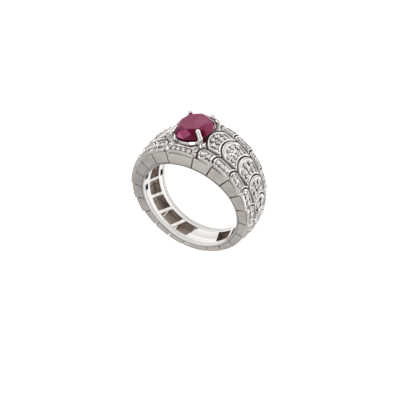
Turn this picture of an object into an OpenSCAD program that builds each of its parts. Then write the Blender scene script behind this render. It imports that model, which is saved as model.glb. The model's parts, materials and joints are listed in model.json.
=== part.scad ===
// Ruby and diamond ring: twenty links round a polished sleeve, with an oval ruby in the head link.
// The ring is drawn upright about its finger axis Z, with the ruby towards +X.
// It is then laid on its far side face, where it rests on the head link and the back link.

/* [Finger hole] */
// Inside diameter of the sleeve
finger_d = 17; // [16.6:0.1:17.4]
// Thickness of the sleeve's wall
sleeve_t = 0.3; // [0.25:0.05:0.35]
// Gap between the sleeve and the links
sleeve_gap = 0.05; // [0.04:0.01:0.08]
// Width of the sleeve's crossbars, round the ring
crossbar_w = 0.6; // [0.5:0.05:0.7]
// Angle from one crossbar to the next
crossbar_angle = 21.2; // [21:0.1:21.3]
// How far a crossbar slants round the ring
crossbar_slant = 1; // [0.8:0.1:1.2]
// Angle from the ruby to the sleeve's back plate, on the left
plate_left = 169.5; // [169:0.5:170]
// Angle from the ruby to the sleeve's back plate, on the right
plate_right = 161; // [160.5:0.5:161.5]

/* [Width] */
// Half of the ring's width under the ruby
head_half_w = 5.35; // [5.25:0.05:5.45]
// Half of the ring's width a quarter of the way round
side_half_w = 3.5; // [3.4:0.05:3.6]
// Half of the ring's width at the back
back_half_w = 2.65; // [2.55:0.05:2.75]

/* [Dome] */
// Radius of the crown line that runs round the middle of the dome
crown_r = 11.15; // [11:0.05:11.3]
// How far the crown line's centre lies from the finger axis, towards the ruby
crown_shift = 0.95; // [0.85:0.05:1.05]
// Radius of the dome's arc across the ring
dome_arc_r = 15; // [14:0.5:17]
// How far the plain links lie below the dome
plain_drop = 0.1; // [0.05:0.05:0.2]
// Radius of the plain links' rounded outer edges
edge_r = 0.5; // [0.4:0.05:0.6]

/* [Links] */
// Angle from the ruby to the first joint
head_angle = 12.7; // [12.5:0.1:12.9]
// Angle of each side link
link_angle = 17; // [16.9:0.05:17.1]
// Gap between two links
joint_gap = 0.16; // [0.12:0.02:0.2]
// Gap behind the round head of a scale
scale_gap = 0.3; // [0.26:0.02:0.34]
// Half of the width of the channel inside the ring
channel_half_w = 1.5; // [1.4:0.05:1.55]
// Radius of the channel's floor
channel_r = 9.6; // [9.5:0.05:9.65]
// Width of the small openings beside the channel
window_w = 0.8; // [0.7:0.05:0.85]
// Length of those openings, round the ring
window_l = 1.2; // [1.1:0.1:1.3]
// How far those openings lie from the side face
window_inset = 0.65; // [0.6:0.05:0.7]
// How far they lie from the link's middle, towards the ruby
window_lead = 0.55; // [0.5:0.05:0.6]

/* [Scales] */
// How far the head of a middle scale leads its joint
scale_lead = 0.8; // [0.78:0.02:0.82]
// How far the head of a leaf leads its joint
leaf_lead = 0.35; // [0.3:0.05:0.4]
// How far the heads next to the ruby lie behind those leads
first_lag = 0.7; // [0.7:0.05:0.75]
// Width of a leaf, as a share of the ring's half width
leaf_share = 0.37; // [0.36:0.005:0.38]
// Width of the slot beside the leaf at its narrow end, as a share of the ring's half width
slot_share = 0.07; // [0.065:0.005:0.075]
// How much each side of a middle scale draws in, per length
scale_taper = 0.14; // [0.12:0.01:0.15]
// Width of a leaf's polished rim, as a share of the ring's half width
rim_share = 0.05; // [0.045:0.005:0.055]
// Width of a middle scale's polished rim, as a share of the ring's half width
scale_rim_share = 0.065; // [0.06:0.005:0.07]
// How much broader that rim is at the scale's head
crescent = 0.32; // [0.3:0.02:0.34]
// Depth of the slots below the dome
slot_depth = 0.7; // [0.65:0.05:0.75]
// Width of the ledge outside the leaves
ledge_w = 0.2; // [0.18:0.02:0.24]
// How far the ledge lies below the dome
ledge_drop = 0.45; // [0.42:0.01:0.46]
// Depth of the stone beds below the dome
bed_depth = 0.5; // [0.48:0.02:0.54]

/* [Ruby] */
// Height of the ruby's girdle above the finger axis
ruby_h = 12.45; // [12.4:0.05:12.6]
// Ruby's size round the ring
ruby_len = 6.2; // [6.1:0.05:6.3]
// Ruby's size across the ring
ruby_w = 7.6; // [7.5:0.05:7.7]
// Height of the ruby's crown
ruby_crown = 1.3; // [1.2:0.05:1.4]
// Depth of the ruby's pavilion
ruby_pavilion = 2.2; // [2.1:0.05:2.3]
// Width of the ruby's table, as a share of the ruby's size
ruby_table = 0.7; // [0.66:0.02:0.72]
// Radius of a claw
claw_r = 0.4; // [0.36:0.02:0.42]
// Angle of the claws round the ruby
claw_angle = 45; // [43:1:47]

/* [Diamonds] */
// Usual diameter of the diamonds in the middle scales
scale_stone_d = 0.8; // [0.78:0.01:0.82]
// Usual diameter of the diamonds in the leaves
leaf_stone_d = 0.85; // [0.8:0.01:0.9]
// Diameter of the diamonds beside the ruby
head_stone_d = 0.76; // [0.7:0.02:0.8]
// Least gap between two diamonds
stone_gap = 0.12; // [0.11:0.01:0.14]

/* [Hidden] */
$fn = 96;
far = 20;
side_links = 9;
scaled_links = 6;
windowed_links = 5;
windows_a_side = 6;
back_angle = 360 - 2 * head_angle - 2 * side_links * link_angle;

finger_r = finger_d / 2;
sleeve_r = finger_r + sleeve_t;
link_r = sleeve_r + sleeve_gap;
// Radius at which the links change from flat joints to scale-shaped ones
shoulder_r = link_r + 1.1;
shoulder_gap = 0.08;
bridge = 0.15;

// A hair's breadth that keeps two cutting planes apart
hair = 0.02;

// The ring's half width at an angle from the ruby
mean_w = (head_half_w + back_half_w) / 2;
wave_1 = (head_half_w - back_half_w) / 2;
wave_2 = (mean_w - side_half_w) / 2;
function half_w(a) = mean_w - wave_2 + wave_1 * cos(a) + wave_2 * cos(2 * a);

// Angles of the first joint and the middle of side link k, counted from the ruby
function joint(k) = head_angle + (k - 1) * link_angle;
function middle(k) = joint(k) + link_angle / 2;

// The crown line's centre, seen from a link at angle a
function crown_x(a) = crown_shift * cos(a);
function crown_y(a) = -crown_shift * sin(a);
function arc_r(z) = crown_r - dome_arc_r + sqrt(pow(dome_arc_r, 2) - pow(z, 2));
// The dome's height in that link's frame, at y round the ring and z across it
function dome(a, y, z) = crown_x(a) + sqrt(pow(arc_r(z), 2) - pow(y - crown_y(a), 2));

// Half axes of the ruby's girdle, and where the claws stand outside it
ruby_a = ruby_len / 2;
ruby_b = ruby_w / 2;
claw_out = [ruby_b * cos(claw_angle), ruby_a * sin(claw_angle)];
claw_turn = atan2(claw_out.y, claw_out.x);
claw_off = claw_r + 0.07;
claw_y = ruby_a * cos(claw_angle) + claw_off * cos(claw_turn);
claw_z = ruby_b * sin(claw_angle) + claw_off * sin(claw_turn);
// The claws' tips bend above the girdle and follow the slope of the ruby's crown
claw_bend = 0.25;
tip_slope = atan2(ruby_crown, (1 - ruby_table) * (ruby_a + ruby_b) / 2);
tip_length = 1.15;
tip_h = ruby_h + claw_bend + tip_length * sin(tip_slope);
tip_z = claw_z - tip_length * cos(tip_slope) * sin(claw_turn);

// The rest pose: the line under the head link's inner corner and the back link's round edge
rest_x = link_r * cos(head_angle);
edge_x = dome(180, 0, back_half_w) - plain_drop - edge_r;
edge_z = back_half_w - edge_r;
rest_span = [rest_x + edge_x, head_half_w - edge_z];
tilt = atan2(rest_span.y, rest_span.x) - asin(edge_r / norm(rest_span));
lift = head_half_w * cos(tilt) - rest_x * sin(tilt);
front_x = tip_h * cos(tilt) + tip_z * sin(tilt) + claw_r;
back_x = (dome_arc_r + crown_shift - crown_r) * cos(tilt) + plain_drop - dome_arc_r;
centre_x = (front_x + back_x) / 2;

// Lays the upright ring down on its far side face
module at_rest() {
    translate([-centre_x, 0, lift]) rotate([0, -tilt, 0]) children();
}

// Puts something on side link k, on the left with side 1 and on the right with side -1
module at_link(k, side = 1) {
    mirror([0, side < 0 ? 1 : 0, 0]) rotate([0, 0, middle(k)]) children();
}

// The solid under the dome, lowered by drop, as the link at angle a sees it
module dome_solid(a, drop = 0) {
    translate([crown_x(a), crown_y(a), 0])
        rotate_extrude()
            intersection() {
                translate([crown_r - dome_arc_r, 0]) circle(r = dome_arc_r - drop);
                translate([0, -far / 2]) square([far, far]);
            }
}

// A cylinder round the finger axis
module bore(r) {
    cylinder(r = r, h = 2 * far, center = true);
}

// The slab across the ring from z = low to z = high
module band(low, high) {
    translate([-far, -far, low]) cube([2 * far, 2 * far, high - low]);
}

// A flat shape drawn round the ring (x) and across it (y), raised along the link's middle line
module raised(from, to = far) {
    translate([from, 0, 0]) rotate([90, 0, 90]) linear_extrude(height = to - from) children();
}

// The wedge between two flat joints, symmetric about +X
module wedge(angle, gap = joint_gap) {
    half = angle / 2;
    tip = gap / 2 / sin(half);
    linear_extrude(height = 2 * far, center = true)
        polygon([
            [tip, 0],
            [tip + far * cos(half), far * sin(half)],
            [tip + far, 0],
            [tip + far * cos(half), -far * sin(half)]
        ]);
}

// The slab between the side faces of a link, w_a wide at the ruby's end and w_b at the other
module side_slab(w_a, w_b) {
    slope = (w_b - w_a) / (2 * link_r * tan(link_angle / 2));
    mid = (w_a + w_b) / 2;
    reach = 4;
    raised(0)
        polygon([
            [-reach, slope * reach - mid],
            [reach, -slope * reach - mid],
            [reach, slope * reach + mid],
            [-reach, mid - slope * reach]
        ]);
}

// Sizes of the scale and leaves of side link k; x runs away from the ruby, y across the ring
scale_roundness = 1.18;
leaf_roundness = 0.56;
joint_depth = 0.5;
function mid_w(k) = half_w(middle(k));
function zone_w(k) = mid_w(k) - ledge_w;
function leaf_w(k) = leaf_share * mid_w(k);
function slot_w(k) = slot_share * mid_w(k);
function rim_w(k) = rim_share * mid_w(k);
function scale_rim_w(k) = scale_rim_share * mid_w(k);
function scale_w(k) = zone_w(k) - leaf_w(k) - slot_w(k);
function scale_r(k) = scale_roundness * scale_w(k);
function joint_x(k) = -(dome(middle(k), 0, 0) - joint_depth) * tan(link_angle / 2);
function lag(k) = k == 1 ? first_lag : 0;
function scale_x(k) = joint_x(k) - scale_lead + lag(k);
function leaf_x(k) = joint_x(k) - leaf_lead + lag(k);
function leaf_r(k) = leaf_roundness * leaf_w(k);
function leaf_y(k) = zone_w(k) - leaf_w(k) / 2;
function side_x(x, r, w) = x + r - sqrt(pow(r, 2) - pow(w, 2));
function shoulder_x(k) = side_x(scale_x(k), scale_r(k), scale_w(k));

// Outline of all that lies behind the heads of link k, grown by a gap
module head_region(k, grow = 0) {
    intersection() {
        union() {
            translate([scale_x(k) + scale_r(k), 0]) circle(r = scale_r(k) + grow);
            for (s = [-1, 1])
                translate([leaf_x(k) + leaf_r(k), s * leaf_y(k)]) circle(r = leaf_r(k) + grow);
            translate([shoulder_x(k) - grow, -far / 2]) square([far, far]);
        }
        translate([-far / 2, -zone_w(k)]) square([2 * far, 2 * zone_w(k)]);
    }
}

// Outline of a round-headed field: a head of radius r that starts at x, with half width w and straight sides
module field(x, r, w, inset) {
    intersection() {
        union() {
            translate([x + r, 0]) circle(r = r - inset);
            translate([x + r, -far / 2]) square([far, far]);
        }
        translate([-far / 2, inset - w]) square([2 * far, 2 * (w - inset)]);
    }
}

// Outline of a middle scale's bed, whose sides draw in towards its tail
taper_reach = 6;
module drawn_in_field(x, r, w, inset) {
    edge = side_x(x, r, w);
    half = w - inset;
    last = half - scale_taper * taper_reach;
    intersection() {
        union() {
            translate([x + r, 0]) circle(r = r - inset);
            translate([x + r, -far / 2]) square([far, far]);
        }
        polygon([
            [-far, -half], [edge, -half], [edge + taper_reach, -last],
            [edge + taper_reach, last], [edge, half], [-far, half]
        ]);
    }
}

// Outline of the slot between the drawn-in side of a middle scale and a leaf
module slot(k) {
    x = shoulder_x(k);
    low = scale_w(k);
    high = low + slot_w(k);
    polygon([
        [x - 1, low], [x, low], [x + taper_reach, low - scale_taper * taper_reach],
        [x + taper_reach, high], [x - 1, high]
    ]);
}

// The stone beds and slots sunk into the top of side link k
module sunk(k) {
    difference() {
        raised(shoulder_r)
            for (s = [0, 1])
                mirror([0, s]) slot(k);
        dome_solid(middle(k), slot_depth);
    }
    difference() {
        raised(shoulder_r) {
            drawn_in_field(scale_x(k) + (k > 1 ? crescent : 0), scale_r(k), scale_w(k), scale_rim_w(k));
            for (s = [-1, 1])
                translate([0, s * leaf_y(k)]) field(leaf_x(k), leaf_r(k), leaf_w(k) / 2, rim_w(k));
        }
        dome_solid(middle(k), bed_depth);
    }
}

// The channel and the small side recesses of link k, open towards the finger
module hollow(k) {
    intersection() {
        bore(channel_r);
        band(-channel_half_w, channel_half_w);
    }
    if (k <= windowed_links)
        intersection() {
            bore(channel_r);
            side_windows(k);
        }
}

// Boxes through the small openings beside the channel of link k; link 0 is the head link
module side_windows(k) {
    w = k > 0 ? mid_w(k) : head_half_w;
    lead = k > 0 ? window_lead : 0;
    for (z = [w - window_inset - window_w, window_inset - w])
        translate([0, -window_l / 2 - lead, z])
            cube([far, window_l, window_w]);
}

// Side link k with its middle scale and two leaves, in its own frame
module scaled_link(k) {
    a = middle(k);
    difference() {
        intersection() {
            union() {
                intersection() {
                    dome_solid(a, ledge_drop);
                    wedge(link_angle);
                    union() {
                        bore(shoulder_r);
                        band(zone_w(k), far);
                        band(-far, -zone_w(k));
                    }
                }
                intersection() {
                    dome_solid(a);
                    union() {
                        raised(shoulder_r + shoulder_gap) head_region(k);
                        intersection() {
                            raised(shoulder_r - bridge) head_region(k);
                            wedge(link_angle);
                        }
                    }
                }
            }
            side_slab(half_w(joint(k)), half_w(joint(k + 1)));
        }
        bore(link_r);
        hollow(k);
        tail(k, 0);
        difference() {
            sunk(k);
            tail(k, rim_w(k));
        }
        if (k == 1) rotate([0, 0, -a]) claw_posts(claw_r + 0.1, claw_foot - 0.15);
    }
}

// All that lies beyond the tail of link k, drawn in by a rim; link 0 is the head link
module tail(k, rim) {
    turn = k > 0 ? link_angle : middle(1);
    joint_turn = k > 0 ? link_angle / 2 : head_angle;
    scaled = k < scaled_links;
    if (scaled) rotate([0, 0, turn]) raised(shoulder_r) head_region(k + 1, scale_gap + rim);
    intersection() {
        rotate([0, 0, joint_turn])
            translate([shoulder_r - 0.3, -joint_gap / 2 - rim - hair, -far]) cube([far, far, 2 * far]);
        difference() {
            band(-far, far);
            if (scaled) band(hair - zone_w(k + 1), zone_w(k + 1) - hair);
        }
    }
}

// A plain link, w wide on average, with rounded outer edges
module plain_block(a, w) {
    top = dome(a, 0, w) - plain_drop;
    intersection() {
        dome_solid(a, plain_drop);
        rotate([90, 0, 0])
            linear_extrude(height = far, center = true) {
                translate([0, -w]) square([top - edge_r, 2 * w]);
                translate([0, edge_r - w]) square([far, 2 * (w - edge_r)]);
                for (s = [-1, 1])
                    translate([top - edge_r, s * (w - edge_r)]) circle(r = edge_r);
            }
    }
}

module plain_link(k) {
    difference() {
        intersection() {
            plain_block(middle(k), half_w(middle(k)) + 0.05);
            wedge(link_angle);
            side_slab(half_w(joint(k)), half_w(joint(k + 1)));
        }
        bore(link_r);
        hollow(k);
    }
}

module side_link(k, side) {
    color([0.72, 0.7, 0.67])
        at_rest()
            at_link(k, side) {
                if (k <= scaled_links) scaled_link(k);
                else plain_link(k);
            }
}

module back_link() {
    color([0.72, 0.7, 0.67])
        at_rest()
            rotate([0, 0, 180])
                difference() {
                    intersection() {
                        plain_block(180, back_half_w);
                        wedge(back_angle);
                    }
                    bore(link_r);
                }
}

// A closed outline of an ellipse with half axes a and b
module ellipse(a, b, n = 32) {
    polygon([for (i = [0:n - 1]) [a * cos(i * 360 / n), b * sin(i * 360 / n)]]);
}

// The upright posts of the four claws
claw_foot = link_r + 1.2;
module claw_posts(r, foot = claw_foot) {
    for (sy = [-1, 1], sz = [-1, 1])
        raised(foot, ruby_h + claw_bend) translate([sy * claw_y, sz * claw_z]) circle(r = r);
}

// One claw's bent tip, which lies along the ruby's crown; x points outwards and z up from the girdle
module claw_tip() {
    translate([0, 0, claw_bend]) {
        sphere(r = claw_r + 0.04);
        rotate([0, tip_slope - 90, 0]) {
            cylinder(r = claw_r - 0.04, h = tip_length);
            translate([0, 0, tip_length]) sphere(r = claw_r);
        }
    }
}

module claw_tips() {
    for (sy = [-1, 1], sz = [-1, 1])
        mirror([0, sy < 0 ? 1 : 0, 0])
            mirror([0, 0, sz < 0 ? 1 : 0])
                translate([ruby_h, claw_y, claw_z])
                    rotate([claw_turn, 0, 0]) rotate([90, 0, 90]) claw_tip();
}

// The gallery: two curved rails under the ruby's girdle, from claw to claw
gallery_low = ruby_h - 0.75;
gallery_high = ruby_h - 0.4;
gallery_half = 2.3;
module gallery() {
    raised(gallery_low - 0.3, gallery_high)
        intersection() {
            difference() {
                ellipse(ruby_a - 0.05, ruby_b - 0.05);
                ellipse(ruby_a - 0.38, ruby_b - 0.42);
            }
            square([2 * gallery_half, far], center = true);
        }
}

// The ruby's size at a depth below its girdle, as a share of the girdle; its lower facets bend once
ruby_bend_depth = 0.62 * ruby_pavilion;
function ruby_share(depth) = depth < ruby_bend_depth
    ? 1 - 0.5 * depth / ruby_bend_depth
    : 0.5 * (ruby_pavilion - depth) / (ruby_pavilion - ruby_bend_depth);

// The space for the ruby's pavilion, in steps that narrow downwards
pocket_steps = 4;
pocket_step = (ruby_pavilion + 0.15 - (ruby_h - gallery_low)) / pocket_steps;
module ruby_pocket() {
    raised(gallery_low) ellipse(ruby_a + 0.1, ruby_b + 0.1);
    for (i = [0:pocket_steps - 1]) {
        share = ruby_share(ruby_h - gallery_low + i * pocket_step) + 0.03;
        raised(gallery_low - (i + 1) * pocket_step) ellipse(share * ruby_a, share * ruby_b);
    }
}

// The straight stone beds of the head link, one on each side of the ruby
head_row_w = 0.98;
head_row_y = head_half_w - ledge_w - head_row_w / 2 + 0.02;
head_row_half = 1.95;
// How far the head link reaches round the ring before its tails are cut
head_reach = 4.5;
module head_beds() {
    difference() {
        raised(shoulder_r)
            for (s = [-1, 1])
                translate([-head_row_half, s * head_row_y - head_row_w / 2 + 0.04])
                    square([2 * head_row_half, head_row_w - 0.08]);
        dome_solid(0, bed_depth);
    }
}

module head_link() {
    zone = head_half_w - ledge_w;
    color([0.75, 0.73, 0.7])
        at_rest() {
            difference() {
                union() {
                    intersection() {
                        dome_solid(0, ledge_drop);
                        wedge(2 * head_angle);
                        union() {
                            bore(shoulder_r);
                            band(zone, head_half_w);
                            band(-head_half_w, -zone);
                        }
                        band(-head_half_w, head_half_w);
                    }
                    intersection() {
                        dome_solid(0);
                        band(-zone, zone);
                        union() {
                            raised(shoulder_r + shoulder_gap) square([2 * head_reach, far], center = true);
                            intersection() {
                                raised(shoulder_r - bridge) square([2 * head_reach, far], center = true);
                                wedge(2 * head_angle);
                            }
                        }
                    }
                }
                bore(link_r);
                hollow(0);
                head_beds();
                ruby_pocket();
                for (s = [0, 1])
                    mirror([0, s, 0]) tail(0, 0);
            }
            gallery();
            claw_posts(claw_r);
            claw_tips();
        }
}

// The sleeve: its side edges follow the links' side faces along a wide arc
edge_slope = wave_1 / sleeve_r;
edge_bend = 4 * wave_2 / pow(sleeve_r, 2);
edge_arc_r = pow(1 + pow(edge_slope, 2), 1.5) / edge_bend;
edge_arc_x = -edge_slope / sqrt(1 + pow(edge_slope, 2)) * edge_arc_r;
edge_arc_z = side_half_w + edge_arc_r / sqrt(1 + pow(edge_slope, 2));
edge_inset = 0.06;

module sleeve_sides() {
    rotate([90, 0, 0])
        linear_extrude(height = far * 2, center = true)
            difference() {
                square([3 * far, far], center = true);
                for (s = [-1, 1])
                    translate([edge_arc_x, s * edge_arc_z]) circle(r = edge_arc_r + edge_inset, $fn = 360);
            }
}

// A window of the sleeve's channel between two slanted crossbars
module channel_window() {
    half = finger_r * tan(crossbar_angle / 2) - crossbar_w / 2;
    lean = crossbar_slant / 2;
    w = channel_half_w;
    raised(0) polygon([[lean - half, -w], [lean + half, -w], [half - lean, w], [-half - lean, w]]);
}

module inner_frame() {
    color([0.85, 0.84, 0.82])
        at_rest()
            difference() {
                intersection() {
                    bore(sleeve_r);
                    sleeve_sides();
                }
                bore(finger_r);
                for (side = [-1, 1], i = [0:windows_a_side - 1])
                    mirror([0, side < 0 ? 1 : 0, 0])
                        rotate([0, 0, (side < 0 ? plate_right : plate_left) - (i + 0.5) * crossbar_angle])
                            channel_window();
                side_windows(0);
                for (side = [-1, 1], k = [1:windowed_links])
                    at_link(k, side) side_windows(k);
            }
}

// The points of one ring of a cut stone: n points at height h, on half axes a and b
function ring(n, a, b, h, turn = 0) = [
    for (i = [0:n - 1]) [a * cos(turn + i * 360 / n), b * sin(turn + i * 360 / n), h]
];

// The ruby: an oval brilliant with a table, stars, kites and two rows of lower facets
module oval_brilliant(a, b, table, crown, pavilion, girdle) {
    half = 180 / 8;
    star = (1 + table) / 2 / cos(half) - 0.03;
    star_h = girdle + (crown - girdle) * (1 - star * cos(half)) / (1 - table);
    points = concat(
        ring(8, table * a, table * b, crown),
        ring(8, star * a, star * b, star_h, half),
        ring(16, a, b, girdle),
        ring(16, a, b, 0),
        ring(8, a * 0.5, b * 0.5, -ruby_bend_depth, half),
        [[0, 0, -pavilion]]
    );
    table_face = [[for (i = [7:-1:0]) i]];
    stars = [for (i = [0:7]) [i, (i + 1) % 8, 8 + i]];
    kites = [for (i = [0:7]) [i, 8 + i, 16 + 2 * i, 8 + (i + 7) % 8]];
    uppers = [for (i = [0:7], t = [0, 1])
        t == 0 ? [8 + i, 16 + 2 * i + 1, 16 + 2 * i] : [8 + i, 16 + (2 * i + 2) % 16, 16 + 2 * i + 1]];
    girdles = [for (j = [0:15]) [16 + j, 16 + (j + 1) % 16, 32 + (j + 1) % 16, 32 + j]];
    lowers = [for (i = [0:7], t = [0, 1])
        t == 0 ? [32 + 2 * i, 32 + 2 * i + 1, 48 + i] : [32 + 2 * i + 1, 32 + (2 * i + 2) % 16, 48 + i]];
    mains = [for (i = [0:7], t = [0, 1])
        t == 0 ? [32 + 2 * i, 48 + i, 48 + (i + 7) % 8] : [48 + i, 56, 48 + (i + 7) % 8]];
    polyhedron(points, concat(table_face, stars, kites, uppers, girdles, lowers, mains));
}

module ruby() {
    color([0.55, 0.08, 0.25])
        at_rest()
            translate([ruby_h, 0, 0])
                rotate([0, 90, 0])
                    oval_brilliant(ruby_b, ruby_a, ruby_table, ruby_crown, ruby_pavilion, 0.1);
}

// A small round diamond of diameter d, its girdle at the origin and its table towards +Z
module diamond(d) {
    crown = 0.15 * d;
    pavilion = 0.38 * d;
    table = 0.56 * d / 2;
    points = concat(
        ring(8, table, table, crown),
        ring(8, d / 2, d / 2, 0, 22.5),
        [[0, 0, -pavilion]]
    );
    table_face = [[for (i = [7:-1:0]) i]];
    stars = [for (i = [0:7]) [i, (i + 1) % 8, 8 + i]];
    mains = [for (i = [0:7]) [i, 8 + i, 8 + (i + 7) % 8]];
    lowers = [for (i = [0:7]) [8 + i, 8 + (i + 1) % 8, 16]];
    polyhedron(points, concat(table_face, stars, mains, lowers));
}

// Sets a diamond in the dome of the link at angle a, at x round the ring and y across it
stone_drop = 0.06;
module set_diamond(a, x, y, d) {
    height = dome(a, x, y);
    turn = atan2(x - crown_y(a), height - crown_x(a));
    translate([height - stone_drop, x, y])
        rotate([0, 0, turn])
            rotate([0, 90 - asin(y / dome_arc_r), 0]) diamond(d);
}

// Where a round head of radius r that starts at x begins, at y from its middle line
function head_front(x, r, y) = abs(y) < r ? x + r - sqrt(pow(r, 2) - pow(y, 2)) : far;

// Where the gap before the heads of link k begins, at y across the ring
function front_x(k, y) = min(
    shoulder_x(k) - scale_gap,
    head_front(scale_x(k) - scale_gap, scale_r(k) + scale_gap, y),
    head_front(leaf_x(k) - scale_gap, leaf_r(k) + scale_gap, abs(y) - leaf_y(k))
);

// Where link k ends in its own frame, at y across the ring
function tail_x(k, y) = k < scaled_links
    ? dome(middle(k + 1), front_x(k + 1, y), y) * sin(link_angle) + front_x(k + 1, y) * cos(link_angle)
    : -joint_x(k) - joint_gap / 2;

// How many diamonds of about the same diameter d fill a length
function fitting(length, d) = max(1, round((length + stone_gap) / (d + stone_gap)));

// Diamonds of diameter d in a row between two points, given as x and y across the ring, n of them
module stone_row(k, d, from, to, n) {
    for (i = [0:n - 1]) {
        at = n > 1 ? from + i * (to - from) / (n - 1) : (from + to) / 2;
        set_diamond(middle(k), at.x, at.y, d);
    }
}

// Diamonds in columns behind the head of middle scale k, each graded to fill its column
wall_gap = 0.06;
module scale_diamonds(k) {
    head = scale_x(k) + (k > 1 ? crescent : 0);
    wall = scale_rim_w(k) + wall_gap;
    head_w = 2 * (scale_w(k) - wall);
    tail_w = head_w - 2 * scale_taper * (tail_x(k, scale_w(k)) - shoulder_x(k));
    columns = fitting(tail_w - stone_gap, scale_stone_d);
    largest = min(1.1 * scale_stone_d, tail_w / columns - stone_gap);
    function start(y, d) = head_front(head + wall + d / 2, scale_r(k) - wall - d / 2, y);
    function end(y, d) = tail_x(k, abs(y) - d / 3) - rim_w(k) - wall_gap - d / 2;
    for (i = [0:columns - 1]) {
        share = (i - (columns - 1) / 2) / columns;
        y = share * [head_w, tail_w];
        room = end(y[1], largest) - start(y[0], largest) + largest;
        n = fitting(room, scale_stone_d);
        d = min(largest, (room + stone_gap) / n - stone_gap);
        stone_row(k, d, [start(y[0], d), y[0]], [end(y[1], d), y[1]], n);
    }
}

// A straight row of diamonds in each leaf of link k
module leaf_diamonds(k) {
    largest = leaf_w(k) - 2 * rim_w(k) - 2 * wall_gap;
    wall = rim_w(k) + wall_gap;
    y = leaf_y(k);
    room = tail_x(k, y - largest / 3) - leaf_x(k) - 2 * wall;
    n = fitting(room, leaf_stone_d);
    d = min(largest, (room + stone_gap) / n - stone_gap);
    from = leaf_x(k) + wall + d / 2;
    for (s = [-1, 1])
        stone_row(k, d, [from, s * y], [from + room - d, s * y], n);
}

module diamonds(side) {
    color([0.92, 0.92, 0.95])
        at_rest() {
            for (k = [1:scaled_links])
                at_link(k, side) {
                    scale_diamonds(k);
                    leaf_diamonds(k);
                }
            for (i = [0, 1], s = [-1, 1])
                set_diamond(0, side * (i + 0.5) * (head_stone_d + stone_gap), s * head_row_y, head_stone_d);
        }
}

inner_frame();
head_link();
for (k = [1:side_links]) {
    side_link(k, 1);
    side_link(k, -1);
}
back_link();
ruby();
diamonds(1);  // diamonds_left
diamonds(-1);  // diamonds_right
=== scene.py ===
"""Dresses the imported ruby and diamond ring: links with polished rims, cut stones, claws and finishes."""

import json
import math

import bmesh
import bpy
from bpy.props import FloatProperty, FloatVectorProperty, IntProperty, PointerProperty
from bpy.types import Operator, Panel, PropertyGroup
from mathutils import Matrix, Vector


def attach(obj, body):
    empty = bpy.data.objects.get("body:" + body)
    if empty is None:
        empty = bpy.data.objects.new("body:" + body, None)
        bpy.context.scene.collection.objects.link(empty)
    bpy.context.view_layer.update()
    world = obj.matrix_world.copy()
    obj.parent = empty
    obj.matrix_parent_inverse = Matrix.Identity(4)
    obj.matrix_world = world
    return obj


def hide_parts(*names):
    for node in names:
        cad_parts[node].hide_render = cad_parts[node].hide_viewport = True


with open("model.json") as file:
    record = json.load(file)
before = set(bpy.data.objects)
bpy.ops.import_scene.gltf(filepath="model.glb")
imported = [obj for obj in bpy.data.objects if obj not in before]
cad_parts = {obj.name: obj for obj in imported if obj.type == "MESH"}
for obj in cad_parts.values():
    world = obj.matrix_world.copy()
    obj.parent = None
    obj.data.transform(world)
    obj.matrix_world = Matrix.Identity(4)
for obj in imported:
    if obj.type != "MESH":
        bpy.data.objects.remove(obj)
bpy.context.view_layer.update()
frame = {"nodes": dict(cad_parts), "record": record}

bl_info = {
    "name": "Ruby and diamond ring",
    "version": (1, 0, 0),
    "blender": (4, 5, 0),
    "location": "View3D > Sidebar > Ring",
    "description": "Builds the finished links, stones, claws and stage of a ruby and diamond ring",
    "category": "Object",
}

MM = 0.001
BODY = "root"

# The side links are counted from the ruby: scaled ones first, of which the first few have windows
SIDE_LINKS = 9
SCALED_LINKS = 6
WINDOWED_LINKS = 5
LEFT, RIGHT = 1, -1
SIDE_NAMES = {LEFT: "left", RIGHT: "right"}

# The tags of faces are places in the list of metals
METALS = ("brushed_metal", "bright_metal", "shaded_metal", "pave_metal", "channel_metal", "crescent_metal")
SATIN, POLISHED, PIT, BED, CHANNEL, CRESCENT = range(len(METALS))

# Radii of the round heads, as shares of a scale's half width and of a leaf's width
SCALE_ROUNDNESS = 1.18
LEAF_ROUNDNESS = 0.56
# Depth below the dome at which a joint's place is measured
JOINT_DEPTH = 0.5 * MM
# Half of the step in a slot's floor where a leaf's edge passes
HAIR = 0.002 * MM

# Columns along a field, rows across it, and the steps and the shape of its rim
FIELD_COLUMNS = 6
BAR_COLUMNS = 2
SCALE_ROWS = 28
LEAF_ROWS = 18
BAR_ROWS = 6
FLOOR_ROWS = 30
RIM_STEPS = 7
RIM_CROWN = 0.08 * MM
BED_DEPTH = 0.2 * MM
# The part of a broad rim that is rougher and painted darker as shade: its middle bands, and the faces at the
# scale's head
CRESCENT_BANDS = slice(2, 6)
CRESCENT_FACES = slice(3, 25)

# The links' lower blocks
BEVEL = 0.05 * MM
GROOVE_WIDTH = 0.09 * MM
GROOVE_DEPTH = 0.12 * MM
LEDGE_RISE = 0.08 * MM
EDGE_STEPS = 6
ROOF_STEPS = 5
SWEEP_STEPS = 6

# The pieces that start from a copy of their solid
MERGE = 0.002 * MM
FLAT_ANGLE = math.radians(0.5)
SHARP_ANGLE = math.radians(40)
SMOOTH_ANGLE = math.radians(35)
HEAD_BEVEL = 0.04 * MM
BEVEL_STEPS = 2
BEVEL_PROFILE = 0.6
# How far down from the ruby's girdle the rails and claws are polished, and where the head's stone bed ends
RAIL_DEPTH = 1.0 * MM
HEAD_PAVE = 5.0 * MM
# How nearly a face of the head link looks along the finger axis, or one of the sleeve away from it
SIDE_LEAN = 0.9
ROUND_LEAN = math.cos(math.radians(12))

# The rows of diamonds, their setting grains, and the sides of a stone's table
WALL_GAP = 0.06 * MM
HEAD_ROW = 4.68 * MM
LARGEST_SHARE = 1.1
GRAINS = 4
GRAIN_CIRCLE = 0.53
GRAIN_SHARES = (0.75, 1.2)
GRAIN_SEGMENTS, GRAIN_RINGS = 8, 5
SIDES = 8

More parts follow.
